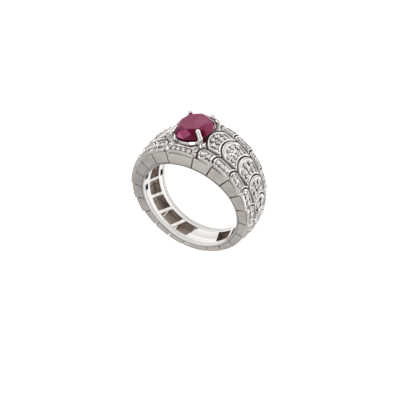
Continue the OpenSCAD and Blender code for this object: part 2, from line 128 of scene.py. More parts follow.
# The ruby: its girdle, how far its stars are drawn in, and the depth and the width at its pavilion's bend
GIRDLE = 0.1 * MM
STAR_INSET = 0.03
RUBY_BEND = 0.62
BEND_SHARE = 0.5
# Painted light on the ruby's facets: how bright each is painted, from deep painted shade to bright painted
# highlight, one value for each facet round the stone
TABLE_PAINTED_LIGHT = (0.5, 0.46, 0.44, 0.5, 0.52, 0.56, 0.6, 0.54)
STAR_PAINTED_LIGHT = (0.7, 0.5, 0.4, 0.3, 0.12, 0.4, 0.55, 0.7)
KITE_PAINTED_LIGHT = (0.75, 0.5, 0.25, 0.35, 0.62, 0.0, 0.5, 0.1)
BREAK_PAINTED_LIGHT = (0.7, 0.9, 0.4, 0.6, 0.3, 0.12, 0.2, 1.0, 0.05, 0.0, 0.2, 0.25, 0.6, 0.1, 1.0, 0.0)
GIRDLE_PAINTED_LIGHT = 0.3
UPPER_PAVILION_PAINTED_LIGHT = 0.1
LOWER_PAVILION_PAINTED_LIGHT = 0.2

# Painted reflections along the sleeve's rims, as bright and grey lines: distance from the rim in millimetres,
# and brightness there
SLEEVE_REFLECTIONS = (
    (0.0, 1.0), (0.1, 1.4), (0.18, 0.5), (0.3, 1.3), (0.45, 0.85),
    (0.6, 1.25), (0.7, 0.4), (0.82, 1.3), (1.3, 1.3), (2.6, 1.0),
)
SLEEVE_SPAN = 6.0

# The diamonds' flashes, from dark to bright: place among the tints, and brightness
DIAMOND_FLASHES = ((0.1, 0.14), (0.35, 0.42), (0.6, 0.8), (0.8, 1.0))

# The stage: greys of the sky from below to straight above, and lights by place, size and power
WHITE = (1.0, 1.0, 1.0, 1.0)
FLOOR_TINTS = ((0.68, 0.68, 0.69, 1.0), (0.72, 0.72, 0.725, 1.0))
FLOOR_SIDES = 96
SKY = (
    (0.0, (0.16, 0.16, 0.17)),
    (0.3, (0.4, 0.4, 0.41)),
    (0.6, (0.82, 0.81, 0.8)),
    (1.0, (0.95, 0.95, 0.94)),
)
PANEL_SHARE = 0.7
PANEL_SCALE = 1.6
SENSOR_WIDTH = 36.0
CLIP_START = 1.0 * MM
LIGHTS = (
    ("key", (-0.15, -0.2, 0.35), 0.2, 0.45),
    ("fill", (0.3, 0.15, 0.25), 0.25, 0.2),
)


def length(name, text, millimetres):
    """A length property, given in millimetres and held in metres."""
    return FloatProperty(name=name, description=text, default=millimetres * MM, unit="LENGTH", precision=5)


def angle(name, text, degrees):
    """An angle property, given in degrees and held in radians."""
    return FloatProperty(name=name, description=text, default=math.radians(degrees), subtype="ANGLE")


def share(name, text, value):
    """A plain number between 0 and 1."""
    return FloatProperty(name=name, description=text, default=value, min=0.0, max=1.0)


def colour(name, text, value):
    """A colour property."""
    return FloatVectorProperty(name=name, description=text, default=value, subtype="COLOR", size=3)


class RingSizes(PropertyGroup):
    """Sizes of the ring, as in the construction that it dresses."""

    finger_radius: length("Finger radius", "Inside radius of the sleeve", 8.5)
    sleeve_thickness: length("Sleeve thickness", "Thickness of the sleeve's wall", 0.3)
    sleeve_gap: length("Sleeve gap", "Gap between the sleeve and the links", 0.05)
    head_half_width: length("Head half width", "Half of the ring's width under the ruby", 5.35)
    side_half_width: length("Side half width", "Half of the ring's width a quarter of the way round", 3.5)
    back_half_width: length("Back half width", "Half of the ring's width at the back", 2.65)
    crown_radius: length("Crown radius", "Radius of the line round the middle of the dome", 11.15)
    crown_shift: length("Crown shift", "How far that line's centre lies towards the ruby", 0.95)
    dome_radius: length("Dome radius", "Radius of the dome's arc across the ring", 15.0)
    plain_drop: length("Plain drop", "How far the plain links lie below the dome", 0.1)
    edge_radius: length("Edge radius", "Radius of the plain links' outer edges", 0.5)
    head_angle: angle("Head angle", "Angle from the ruby to the first joint", 12.7)
    link_angle: angle("Link angle", "Angle of each side link", 17.0)
    joint_gap: length("Joint gap", "Gap between two links", 0.16)
    scale_gap: length("Scale gap", "Gap in front of the head of a scale", 0.3)
    shoulder_height: length("Shoulder height", "Height of the flat joints above the links' inside", 1.1)
    shoulder_gap: length("Shoulder gap", "Gap under the overhanging heads", 0.08)
    channel_half_width: length("Channel half width", "Half of the width of the channel inside the ring", 1.5)
    channel_radius: length("Channel radius", "Radius of the channel's floor", 9.6)
    window_width: length("Window width", "Width of the small openings beside the channel", 0.8)
    window_inset: length("Window inset", "How far those openings lie from the side face", 0.65)
    scale_lead: length("Scale lead", "How far the head of a middle scale leads its joint", 0.8)
    leaf_lead: length("Leaf lead", "How far the head of a leaf leads its joint", 0.35)
    first_lag: length("First lag", "How far the heads next to the ruby lie behind those leads", 0.7)
    ledge_width: length("Ledge width", "Width of the ledge outside the leaves", 0.2)
    ledge_drop: length("Ledge drop", "How far the ledge lies below the dome", 0.45)
    slot_depth: length("Slot depth", "Depth of the slots below the dome", 0.7)
    leaf_share: share("Leaf share", "Width of a leaf, as a share of the half width", 0.37)
    slot_share: share("Slot share", "Width of a slot's narrow end, as a share of the half width", 0.07)
    scale_taper: share("Scale taper", "How much each side of a middle scale draws in, per length", 0.14)
    rim_share: share("Rim share", "Width of a leaf's rim, as a share of the half width", 0.05)
    scale_rim_share: share("Scale rim share", "Width of a scale's rim, as a share of the half width", 0.065)
    crescent: length("Crescent", "How much broader that rim is at the scale's head", 0.32)


class StoneSizes(PropertyGroup):
    """Sizes of the ruby, its claws and the diamonds."""

    ruby_height: length("Ruby height", "Height of the ruby's girdle above the finger axis", 12.45)
    ruby_length: length("Ruby length", "Size of the ruby round the ring", 6.2)
    ruby_width: length("Ruby width", "Size of the ruby across the ring", 7.6)
    ruby_crown: length("Ruby crown", "Height of the ruby's crown", 1.3)
    ruby_pavilion: length("Ruby pavilion", "Depth of the ruby's pavilion", 2.2)
    ruby_table: share("Ruby table", "Width of the ruby's table, as a share of the ruby", 0.7)
    scale_diamond: length("Scale diamond", "Usual diameter of the diamonds in the middle scales", 0.8)
    leaf_diamond: length("Leaf diamond", "Usual diameter of the diamonds in the leaves", 0.85)
    head_diamond: length("Head diamond", "Diameter of the diamonds beside the ruby", 0.76)
    stone_gap: length("Stone gap", "Least gap between two diamonds", 0.12)
    stone_drop: length("Stone drop", "How far the diamonds' girdles lie below the dome", 0.06)
    grain: length("Grain", "Radius of a setting grain", 0.1)
    grain_seed: IntProperty(name="Grain seed", description="Seed of the grains' small differences", default=4)


class RingFinish(PropertyGroup):
    """Colours of the ring's metal and stones."""

    satin: colour("Satin metal", "Colour of the brushed side faces", (0.73, 0.685, 0.645))
    polished: colour("Polished metal", "Colour of the rims and the sleeve", (0.58, 0.565, 0.55))
    # Painted shade: the metal in the slots and gaps is given a darker colour than the side faces
    pit: colour("Shaded metal", "Colour of the metal in the slots", (0.56, 0.49, 0.45))
    channel: colour("Channel", "Colour of the channel's floor", (0.48, 0.39, 0.33))
    ruby: colour("Ruby", "Usual colour of the ruby", (0.2, 0.004, 0.06))
    # The colours of the painted shade and the painted highlights on the ruby's facets
    ruby_deep: colour("Deep ruby", "Colour of the ruby's darkest facets", (0.09, 0.0, 0.015))
    ruby_bright: colour("Bright ruby", "Colour of the ruby's brightest facets", (0.5, 0.12, 0.24))
    diamond: colour("Diamond", "Colour of the diamonds", (0.94, 0.88, 0.89))


class StageSizes(PropertyGroup):
    """The camera, the lights and the floor."""

    camera_place: FloatVectorProperty(
        name="Camera place",
        description="From the ring's centre: towards the ruby, to the left and along the finger axis",
        default=(86.68 * MM, -64.38 * MM, 111.93 * MM),
        unit="LENGTH",
    )
    camera_up: FloatVectorProperty(
        name="Camera up",
        description="Which way is up in the picture, in the same directions",
        default=(0.82836, 0.21868, -0.51576),
    )
    lens: FloatProperty(name="Lens", description="Focal length in millimetres", default=84.9)
    shift: FloatVectorProperty(
        name="Shift",
        description="Shift of the picture",
        default=(0.0025, -0.0156),
        size=2,
    )
    floor_radius: length("Floor radius", "Radius of the floor", 400.0)


def settings():
    """The four groups of sizes and colours."""
    scene = bpy.context.scene
    return scene.ring_sizes, scene.stone_sizes, scene.ring_finish, scene.stage_sizes


class Ring:
    """Where the ring's links, scales and stones lie. Lengths are in metres and angles in radians."""

    def __init__(self):
        self.sizes, self.stones, _, _ = settings()
        size = self.sizes
        mount = next(m for m in frame["record"]["mounts"] if m["name"] == "finger_hole")
        self.centre = Vector(mount["pos_m"])
        self.axis = Vector(mount["axis"])
        self.to_ruby = Vector((self.axis.z, 0, -self.axis.x))
        self.to_left = Vector((0, 1, 0))
        self.link_radius = size.finger_radius + size.sleeve_thickness + size.sleeve_gap
        self.shoulder = self.link_radius + size.shoulder_height
        mean = (size.head_half_width + size.back_half_width) / 2
        self.first_wave = (size.head_half_width - size.back_half_width) / 2
        self.second_wave = (mean - size.side_half_width) / 2
        self.base_width = mean - self.second_wave

    def point(self, x, y, z):
        """A point given towards the ruby, to the left and along the finger axis, in the row frame."""
        return self.centre + self.to_ruby * x + self.to_left * y + self.axis * z

    def place(self, turn, x, z, height):
        """A point at a height above the finger axis and x round the ring, in a frame turned by an angle."""
        c, s = math.cos(turn), math.sin(turn)
        return self.point(height * c - x * s, height * s + x * c, z)

    def polar(self, radius, turn, z):
        """A point at a radius and an angle from the ruby round the finger axis."""
        return self.point(radius * math.cos(turn), radius * math.sin(turn), z)

    def half_width(self, turn):
        """The ring's half width at an angle from the ruby."""
        return self.base_width + self.first_wave * math.cos(turn) + self.second_wave * math.cos(2 * turn)

    def joint(self, k):
        """Angle of the joint before side link k."""
        return self.sizes.head_angle + (k - 1) * self.sizes.link_angle

    def middle(self, k):
        """Angle of the middle of side link k; link 0 is the head link."""
        return self.joint(k) + self.sizes.link_angle / 2 if k else 0.0

    def arc(self, z):
        """Radius of the dome about the crown line's centre, at z across the ring."""
        size = self.sizes
        return size.crown_radius - size.dome_radius + math.sqrt(size.dome_radius**2 - z**2)

    def dome(self, turn, x, z):
        """Height of the dome in the link frame turned by an angle."""
        shift = self.sizes.crown_shift
        return shift * math.cos(turn) + math.sqrt(self.arc(z) ** 2 - (x + shift * math.sin(turn)) ** 2)

    def mean_width(self, k):
        """Half width at the middle of link k."""
        return self.half_width(self.middle(k))

    def zone(self, k):
        """Half width of the part of link k that holds the scale and leaves."""
        return self.mean_width(k) - self.sizes.ledge_width

    def leaf_width(self, k):
        return self.sizes.leaf_share * self.mean_width(k)

    def slot_width(self, k):
        return self.sizes.slot_share * self.mean_width(k)

    def rim(self, k):
        return self.sizes.rim_share * self.mean_width(k)

    def scale_rim(self, k):
        return self.sizes.scale_rim_share * self.mean_width(k)

    def crescent(self, k):
        return self.sizes.crescent if k > 1 else 0.0

    def scale_width(self, k):
        return self.zone(k) - self.leaf_width(k) - self.slot_width(k)

    def scale_radius(self, k):
        return SCALE_ROUNDNESS * self.scale_width(k)

    def joint_x(self, k):
        """Where the joint before link k lies a little below the dome, as x in the link's frame."""
        height = self.dome(self.middle(k), 0, 0) - JOINT_DEPTH
        return -height * math.tan(self.sizes.link_angle / 2)

    def lag(self, k):
        """How far the heads of link k lie behind their usual leads."""
        return self.sizes.first_lag if k == 1 else 0.0

    def scale_x(self, k):
        return self.joint_x(k) - self.sizes.scale_lead + self.lag(k)

    def leaf_x(self, k):
        return self.joint_x(k) - self.sizes.leaf_lead + self.lag(k)

    def leaf_radius(self, k):
        return LEAF_ROUNDNESS * self.leaf_width(k)

    def leaf_z(self, k):
        return self.zone(k) - self.leaf_width(k) / 2

    def shoulder_x(self, k):
        """Where the round head of the middle scale of link k meets its sides."""
        r = self.scale_radius(k)
        return self.scale_x(k) + r - math.sqrt(r**2 - self.scale_width(k) ** 2)

    def drawn_in(self, k):
        """How much the sides of the middle scale of link k draw in up to its tail."""
        return self.sizes.scale_taper * (self.tail_x(k, self.scale_width(k)) - self.shoulder_x(k))

    def head_front(self, k, z, grow):
        """Where the heads of link k begin at z across the ring, as x, with a gap before them."""
        found = self.shoulder_x(k) - grow
        heads = [(self.scale_x(k), self.scale_radius(k), 0.0)]
        heads += [(self.leaf_x(k), self.leaf_radius(k), s * self.leaf_z(k)) for s in (-1, 1)]
        for x, r, middle_z in heads:
            across = (r + grow) ** 2 - (z - middle_z) ** 2
            if across > 0:
                found = min(found, x + r - math.sqrt(across))
        return found

    def tail(self, k, z, rim):
        """Where link k ends at z across the ring: the frame's angle, and x in that frame."""
        size = self.sizes
        if k < SCALED_LINKS and abs(z) < self.zone(k + 1):
            return self.middle(k + 1), self.head_front(k + 1, z, size.scale_gap + rim)
        return self.joint(k + 1), -size.joint_gap / 2 - rim

    def tail_x(self, k, z):
        """Where link k ends at z across the ring, as x in its own frame."""
        turn, x = self.tail(k, z, 0.0)
        if k == SCALED_LINKS:
            return -self.joint_x(k) + x
        lean = turn - self.middle(k)
        return self.dome(turn, x, z) * math.sin(lean) + x * math.cos(lean)

    def radius_at(self, turn, z):
        """Distance of the dome from the finger axis, in the direction of an angle."""
        return self.dome(turn, 0, z)

    def seat(self, k, x, z, drop):
        """A point a drop below the dome at x round link k and z across it, and the dome's normal."""
        turn = self.middle(k)
        height = self.dome(turn, x, z)
        shift = self.sizes.crown_shift
        lean = math.atan2(x + shift * math.sin(turn), height - shift * math.cos(turn))
        rise = math.asin(z / self.sizes.dome_radius)
        normal = self.polar(math.cos(rise), turn + lean, math.sin(rise)) - self.centre
        return self.place(turn, x, z, height - drop), normal


def circle_front(x, radius, z):
    """Where a round head that starts at x begins, at z from its middle line."""
    return x + radius - math.sqrt(max(radius**2 - z**2, 0.0))


class Field:
    """A patch of a link's top between a front and a back curve, sampled in rows across the ring.

    A share t runs from 0 at the patch's edge to 1 at the inside of its rim.
    """

    def __init__(self, ring, k, rows, front, rim, columns=FIELD_COLUMNS, narrow=1.0):
        """rows(t) gives the z of each row, and front(z, t) the angle and the x of its front.

        The back is the tail of link k, drawn in by the rim. A row's z is narrow times as far from
        the middle there as at its front.
        """
        self.ring, self.k, self.turn, self.rim, self.narrow = ring, k, ring.middle(k), rim, narrow
        self.rows, self.front, self.columns = rows, front, columns

    def back(self, z, t):
        """The angle and the x of the back at z."""
        return self.ring.tail(self.k, z, t * self.rim)

    def loop(self, t, height):
        """The closed outline at t, at the height that height(top) gives for the dome's top."""
        rows = self.rows(t)
        front = [self.end(z, self.front(z, t), height) for z in rows]
        back = [self.end(z * self.narrow, self.back(z * self.narrow, t), height) for z in rows]
        low = [self.between(rows[0], t, j / self.columns, height) for j in range(1, self.columns)]
        high = [self.between(rows[-1], t, j / self.columns, height) for j in range(1, self.columns)]
        return front + high + back[::-1] + low[::-1]

    def end(self, z, place, height):
        """A point of the front or the back curve, from its angle and x."""
        turn, x = place
        return self.ring.place(turn, x, z, height(self.ring.dome(turn, x, z)))

    def between(self, z, t, along, height):
        """A point between the front and the back curve."""
        ends = []
        last = z * self.narrow
        for across, (turn, x) in ((z, self.front(z, t)), (last, self.back(last, t))):
            top = self.ring.dome(turn, x, across)
            lean = turn - self.turn
            ends.append(top * math.sin(lean) + x * math.cos(lean))
        x = ends[0] + (ends[1] - ends[0]) * along
        z += (last - z) * along
        return self.ring.place(self.turn, x, z, height(self.ring.dome(self.turn, x, z)))

    def cap(self, bm, loop, t, height, tag):
        """Fills a loop of vertices that loop() gave with a grid that follows the dome."""
        rows = self.rows(t)
        count = len(rows)
        m = self.columns
        grid = []
        for i, z in enumerate(rows):
            line = [loop[i]]
            for j in range(1, m):
                if i == count - 1:
                    line.append(loop[count + j - 1])
                elif i == 0:
                    line.append(loop[len(loop) - j])
                else:
                    line.append(bm.verts.new(self.between(z, t, j / m, height)))
            line.append(loop[2 * count + m - 2 - i])
            grid.append(line)
        for i in range(count - 1):
            for j in range(m):
                corners = [grid[i][j], grid[i][j + 1], grid[i + 1][j + 1], grid[i + 1][j]]
                bm.faces.new(corners).material_index = tag


def band(bm, lower, upper, tags):
    """Joins two closed loops of vertices with quads, one for each tag, and returns them."""
    faces = []
    for i, tag in enumerate(tags):
        j = (i + 1) % len(tags)
        face = bm.faces.new((lower[i], lower[j], upper[j], upper[i]))
        face.material_index = tag
        faces.append(face)
    return faces


def at(level):
    """A height that is the same all over."""
    return lambda top: level


def below(depth):
    """A height that lies a depth below the dome."""
    return lambda top: top - depth


def stack(bm, field, levels, tags, lid):
    """A closed solid from a field's outlines at the levels, with tags for its bands and its lid."""
    loops = [[bm.verts.new(p) for p in field.loop(t, height)] for t, height in levels]
    bands = [band(bm, lower, upper, [tag] * len(lower)) for lower, upper, tag in zip(loops, loops[1:], tags)]
    field.cap(bm, loops[0], *levels[0], PIT)
    field.cap(bm, loops[-1], *levels[-1], lid)
    return bands


def rim_levels(foot, steps):
    """The levels of the first steps of a half-round rim that stands on the foot."""
    shares = [i / RIM_STEPS for i in range(steps + 1)]
    return [(0.0, at(foot))] + [(t, below(RIM_CROWN * (1 - math.sin(math.pi * t)))) for t in shares]


def rimmed_field(bm, field, foot, crescent=False):
    """A solid field with a half-round polished rim round a sunken bed.

    With a crescent, the broad middle of the rim at the field's head is rougher and painted darker as shade.
    """
    levels = rim_levels(foot, RIM_STEPS) + [(1.0, below(BED_DEPTH))]
    bands = stack(bm, field, levels, [PIT] + [POLISHED] * RIM_STEPS + [PIT], BED)
    if crescent:
        for faces in bands[CRESCENT_BANDS]:
            for face in faces[CRESCENT_FACES]:
                face.material_index = CRESCENT


def rimmed_bar(bm, field, foot):
    """A half-round bar along the tail of a slot."""
    levels = rim_levels(foot, RIM_STEPS // 2)
    stack(bm, field, levels, [PIT] + [POLISHED] * (len(levels) - 2), POLISHED)


def flat_field(bm, field, foot, top):
    """A solid field with a plain top at the height that top gives."""
    stack(bm, field, [(0.0, at(foot)), (0.0, top)], [PIT], PIT)


def even_rows(low, high, rim, count):
    """Rows between two edges, which are drawn in over the rim."""
    def rows(t):
        inset = t * rim
        return [low + inset + (high - low - 2 * inset) * i / count for i in range(count + 1)]

    return rows


def scale_field(ring, k):
    """The middle scale of link k."""
    w, r = ring.scale_width(k), ring.scale_radius(k)
    rim = ring.scale_rim(k)

    def front(z, t):
        return ring.middle(k), circle_front(ring.scale_x(k) + t * (rim + ring.crescent(k)), r - t * rim, z)

    narrow = 1 - ring.drawn_in(k) / w
    return Field(ring, k, even_rows(-w, w, rim, SCALE_ROWS), front, ring.rim(k), narrow=narrow)


def leaf_field(ring, k, sign):
    """One of the two leaves of link k."""
    middle_z = sign * ring.leaf_z(k)
    half = ring.leaf_width(k) / 2
    rim = ring.rim(k)

    def front(z, t):
        start = ring.leaf_x(k) + t * rim
        return ring.middle(k), circle_front(start, ring.leaf_radius(k) - t * rim, z - middle_z)

    return Field(ring, k, even_rows(middle_z - half, middle_z + half, rim, LEAF_ROWS), front, rim)


def slot_bar_field(ring, k, sign):
    """The rim that closes a slot of link k at its tail."""
    w = ring.scale_width(k)
    rim = ring.rim(k)
    low = w - ring.drawn_in(k) - rim / 2
    high = w + ring.slot_width(k) + rim / 2
    edges = (low, high) if sign > 0 else (-high, -low)

    def front(z, t):
        turn, x = ring.tail(k, z, 0)
        return turn, x - rim + t * rim

    return Field(ring, k, even_rows(*edges, 0.0, BAR_ROWS), front, rim, columns=BAR_COLUMNS)


def floor_field(ring, k):
    """The floor of the slots of link k, under its scale and leaves."""
    zone = ring.zone(k)
    breaks = [-zone + 2 * zone * (i / FLOOR_ROWS) for i in range(FLOOR_ROWS + 1)]
    half = ring.leaf_width(k) / 2
    for step in (half, -half):
        for sign in (-1, 1):
            edge = sign * (ring.leaf_z(k) + step)
            breaks += [edge - HAIR, edge + HAIR]
    breaks = sorted(z for z in breaks if abs(z) <= zone)

    def front(z, t):
        return ring.middle(k), ring.head_front(k, z, 0)

    return Field(ring, k, lambda t: breaks, front, 0.0)


def channel_edge(ring, inset):
    """The start of a link's section, in the channel inside the ring."""
    edge = ring.sizes.channel_half_width
    return [(ring.sizes.channel_radius, edge, CHANNEL), (ring.link_radius + inset, edge, POLISHED)]


def scaled_section(ring, k, turn, w, inset):
    """Half of the section of a scaled link's lower block, as (radius, z, tag of the edge that follows)."""
    size = ring.sizes
    inner = ring.link_radius + inset
    zone = ring.zone(k)
    top = ring.radius_at(turn, w) - size.ledge_drop + LEDGE_RISE - inset
    side = w - inset
    groove = min(zone + GROOVE_WIDTH, side - 2 * BEVEL)
    points = channel_edge(ring, inset)
    if k <= WINDOWED_LINKS:
        high = ring.mean_width(k) - size.window_inset
        low = high - size.window_width
        points += [(inner, low, PIT), (size.channel_radius, low, PIT)]
        points += [(size.channel_radius, high, PIT), (inner, high, POLISHED)]
    points += [
        (inner, side - BEVEL, SATIN),
        (inner + BEVEL, side, SATIN),
        (top - BEVEL, side, POLISHED),
        (top, side - BEVEL, SATIN),
        (top, groove, PIT),
        (top - GROOVE_DEPTH, groove, PIT),
        (top - GROOVE_DEPTH, zone - GROOVE_WIDTH, PIT),
        (ring.shoulder, zone - GROOVE_WIDTH, PIT),
    ]
    return points


def plain_section(ring, k, turn, w, inset):
    """Half of the section of a plain link, as (radius, z, tag of the edge that follows)."""
    size = ring.sizes
    inner = ring.link_radius + inset
    side = w - inset
    edge = size.edge_radius
    points = channel_edge(ring, inset) if k <= SIDE_LINKS else []
    points += [(inner, side - BEVEL, SATIN), (inner + BEVEL, side, SATIN)]
    corner = ring.radius_at(turn, w) - size.plain_drop - edge
    for i in range(EDGE_STEPS + 1):
        a = math.pi / 2 * i / EDGE_STEPS
        z = side - edge * (1 - math.cos(a))
        roof = ring.radius_at(turn, z) - size.plain_drop - inset
        points.append((min(corner + edge * math.sin(a) - inset, roof), z, SATIN))
    for i in range(1, ROOF_STEPS):
        z = (side - edge) * (1 - i / ROOF_STEPS)
        points.append((ring.radius_at(turn, z) - size.plain_drop - inset, z, SATIN))
    return points


def whole_section(half):
    """A closed section from its half: the other half is its mirror image, and takes each edge's tag."""
    tags = [tag for _, _, tag in half]
    tags = [tags[0]] + tags[:-1]
    return half + [(radius, -z, tag) for (radius, z, _), tag in zip(half[::-1], tags[::-1])]


def swept_block(bm, ring, k, first, last, section):
    """Sweeps a section round the ring between two flat joints, with its ends bevelled."""
    middle, half = (first + last) / 2, (last - first) / 2
    edge = BEVEL / (ring.shoulder * half)
    stops = [(-1.0, BEVEL), (edge - 1.0, 0.0)]
    stops += [(-1.0 + 2.0 * i / SWEEP_STEPS, 0.0) for i in range(1, SWEEP_STEPS)]
    stops += [(1.0 - edge, 0.0), (1.0, BEVEL)]
    start, end = ring.half_width(first), ring.half_width(last)
    loops = []
    for s, inset in stops:
        w = start + (end - start) * (s + 1) / 2
        outline = whole_section(section(ring, k, middle + s * half, w, inset))
        reaches = [half - math.asin(ring.sizes.joint_gap / 2 / radius) for radius, _, _ in outline]
        spots = zip(outline, reaches)
        points = [ring.polar(radius, middle + s * reach, z) for (radius, z, _), reach in spots]
        loops.append([bm.verts.new(p) for p in points])
    tags = [tag for _, _, tag in outline]
    for lower, upper in zip(loops, loops[1:]):
        band(bm, lower, upper, tags)
    bm.faces.new(loops[0]).material_index = SATIN
    bm.faces.new(loops[-1][::-1]).material_index = SATIN


def new_mesh(name, bm):
    """The mesh of a bmesh, which is freed."""
    mesh = bpy.data.meshes.new(name)
    bm.to_mesh(mesh)
    bm.free()
    return mesh


def new_object(name, data):
    """An object of a mesh, a light or a camera, in the scene."""
    made = bpy.data.objects.new(name, data)
    bpy.context.scene.collection.objects.link(made)
    return made


def settle(piece, node):
    """Rides a piece on the ring's body, in place of a CAD node where one is named."""
    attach(piece, BODY)
    if node:
        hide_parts(node)


def finish_mesh(name, bm, materials, node):
    """Makes a piece of a bmesh, in place of a CAD node."""
    bmesh.ops.recalc_face_normals(bm, faces=bm.faces)
    mesh = new_mesh(name, bm)
    for finish in materials:
        mesh.materials.append(finish)
    piece = new_object(name, mesh)
    mesh.shade_smooth()
    mesh.set_sharp_from_angle(angle=SMOOTH_ANGLE)
    settle(piece, node)
    return piece


def finish_link(bm, name):
    """Makes the piece of a link from a bmesh with tagged faces."""
    finish_mesh("finished_" + name, bm, [material(metal) for metal in METALS], name)


def finish_side_link(bm, side, k):
    """Makes the piece of a side link that was built on the left, mirrored for the right."""
    for v in bm.verts:
        v.co.y *= side
    finish_link(bm, f"link_{SIDE_NAMES[side]}_{k}")


def merged_copy(node):
    """A copy of a CAD node's mesh with its doubles merged."""
    bm = bmesh.new()
    bm.from_mesh(frame["nodes"][node].data)
    bmesh.ops.remove_doubles(bm, verts=bm.verts, dist=MERGE)
    return bm


def soften(bm, width):
    """Joins the flat faces of a closed mesh and bevels its sharp edges."""
    bmesh.ops.dissolve_limit(bm, angle_limit=FLAT_ANGLE, verts=bm.verts, edges=bm.edges)
    sharp = [e for e in bm.edges if e.is_manifold and e.calc_face_angle(0.0) > SHARP_ANGLE]
    edges = [e for e in sharp if e.calc_length() > width]
    bmesh.ops.bevel(
        bm,
        geom=edges,
        offset=width,
        segments=BEVEL_STEPS,
        profile=BEVEL_PROFILE,
        affect="EDGES",
        clamp_overlap=True,
    )


def link_frame(ring, point):
    """A point as height above the finger axis towards the ruby, x round the ring and z across it."""
    offset = point - ring.centre
    return offset.dot(ring.to_ruby), offset.dot(ring.to_left), offset.dot(ring.axis)


def head_tag(ring, face):
    """The tag of a face of the head link, from where it lies."""
    size = ring.sizes
    height, x, z = link_frame(ring, face.calc_center_median())
    if height > ring.stones.ruby_height - RAIL_DEPTH:
        return POLISHED
    if abs(z) > size.head_half_width - size.ledge_width - MERGE:
        return SATIN if abs(face.normal.dot(ring.axis)) > SIDE_LEAN else POLISHED
    if math.hypot(height, x) < size.channel_radius + MERGE:
        return CHANNEL
    if height > ring.dome(0.0, x, z) - BED_DEPTH:
        return POLISHED if abs(z) > HEAD_PAVE else BED
    return PIT


def round_normals(ring, mesh):
    """Shades the round faces of the sleeve as one true cylinder and all others flat."""
    normals = []
    for face in mesh.polygons:
        for i in face.vertices:
            offset = mesh.vertices[i].co - ring.centre
            outwards = (offset - ring.axis * offset.dot(ring.axis)).normalized()
            lean = face.normal.dot(outwards)
            normals.append(outwards * math.copysign(1.0, lean) if abs(lean) > ROUND_LEAN else face.normal)
    mesh.normals_split_custom_set(normals)


def fitting(room, diameter, gap):
    """How many stones of about the same diameter fill a length."""
    return max(1, round((room + gap) / (diameter + gap)))


def row_of_stones(k, start, end, diameter, count):
    """Places of the stones of a row, spread evenly from its start to its end, each given as x and z."""
    steps = [i / (count - 1) for i in range(count)] if count > 1 else [0.5]
    return [
        (k, start[0] + t * (end[0] - start[0]), start[1] + t * (end[1] - start[1]), diameter) for t in steps
    ]


def scale_stones(ring, k):
    """Places of the diamonds in the middle scale of link k, as (k, x, z, diameter)."""
    stones = ring.stones
    gap = stones.stone_gap
    head = ring.scale_x(k) + ring.crescent(k)
    wall = ring.scale_rim(k) + WALL_GAP
    inner = 2 * (ring.scale_width(k) - wall)
    last = inner - 2 * ring.drawn_in(k)
    columns = fitting(last - gap, stones.scale_diamond, gap)
    largest = min(LARGEST_SHARE * stones.scale_diamond, last / columns - gap)

    def start(z, d):
        return circle_front(head + wall + d / 2, ring.scale_radius(k) - wall - d / 2, z)

    def end(z, d):
        return ring.tail_x(k, abs(z) - d / 3) - ring.rim(k) - WALL_GAP - d / 2

    places = []
    for i in range(columns):
        across = (i - (columns - 1) / 2) / columns
        z, far_z = across * inner, across * last
        room = end(far_z, largest) - start(z, largest) + largest
        count = fitting(room, stones.scale_diamond, gap)
        d = min(largest, (room + gap) / count - gap)
        places += row_of_stones(k, (start(z, d), z), (end(far_z, d), far_z), d, count)
    return places


def leaf_stones(ring, k):
    """Places of the diamonds in the two leaves of link k."""
    gap = ring.stones.stone_gap
    wall = ring.rim(k) + WALL_GAP
    largest = ring.leaf_width(k) - 2 * wall
    z = ring.leaf_z(k)
    room = ring.tail_x(k, z - largest / 3) - ring.leaf_x(k) - 2 * wall
    count = fitting(room, ring.stones.leaf_diamond, gap)
    d = min(largest, (room + gap) / count - gap)
    start = ring.leaf_x(k) + wall + d / 2
    end = start + room - d
    return [place for s in (-1, 1) for place in row_of_stones(k, (start, s * z), (end, s * z), d, count)]


def head_stones(ring):
    """Places of the diamonds beside the ruby, for the left half of the head link."""
    d, gap = ring.stones.head_diamond, ring.stones.stone_gap
    return [(0, (i + 0.5) * (d + gap), s * HEAD_ROW, d) for i in (0, 1) for s in (-1, 1)]


def stone_seats(ring, side):
    """Where the diamonds of one side sit: place, the way the table faces, and diameter."""
    places = head_stones(ring)
    for k in range(1, SCALED_LINKS + 1):
        places += scale_stones(ring, k) + leaf_stones(ring, k)
    seats = []
    for k, x, z, diameter in places:
        place, normal = ring.seat(k, x, z, ring.stones.stone_drop)
        place.y *= side
        normal.y *= side
        seats.append((place, normal, diameter))
    return seats


def turns(count, first=0.0):
    """Evenly spaced angles round a circle."""
    return [first + 2 * math.pi * i / count for i in range(count)]


def cut_stone():
    """A round brilliant of unit diameter, its girdle at the origin and its table towards +Z."""
    crown, pavilion, table, girdle = 0.15, 0.38, 0.28, 0.5
    bm = bmesh.new()

    def level(count, radius, height):
        return [bm.verts.new((radius * math.cos(a), radius * math.sin(a), height)) for a in turns(count)]

    top = bm.verts.new((0, 0, crown))
    tip = bm.verts.new((0, 0, -pavilion))
    upper = level(SIDES, table, crown)
    edge = level(2 * SIDES, girdle, 0)
    for i in range(SIDES):
        j = (i + 1) % SIDES
        side, middle = edge[2 * i], edge[2 * i + 1]
        bm.faces.new((top, upper[i], upper[j]))
        bm.faces.new((upper[i], middle, upper[j]))
        bm.faces.new((upper[i], side, middle))
        bm.faces.new((upper[j], middle, edge[2 * j]))
    for i in range(2 * SIDES):
        bm.faces.new((tip, edge[(i + 1) % len(edge)], edge[i]))
    bmesh.ops.recalc_face_normals(bm, faces=bm.faces)
    return new_object("cut_stone", new_mesh("cut_stone", bm))


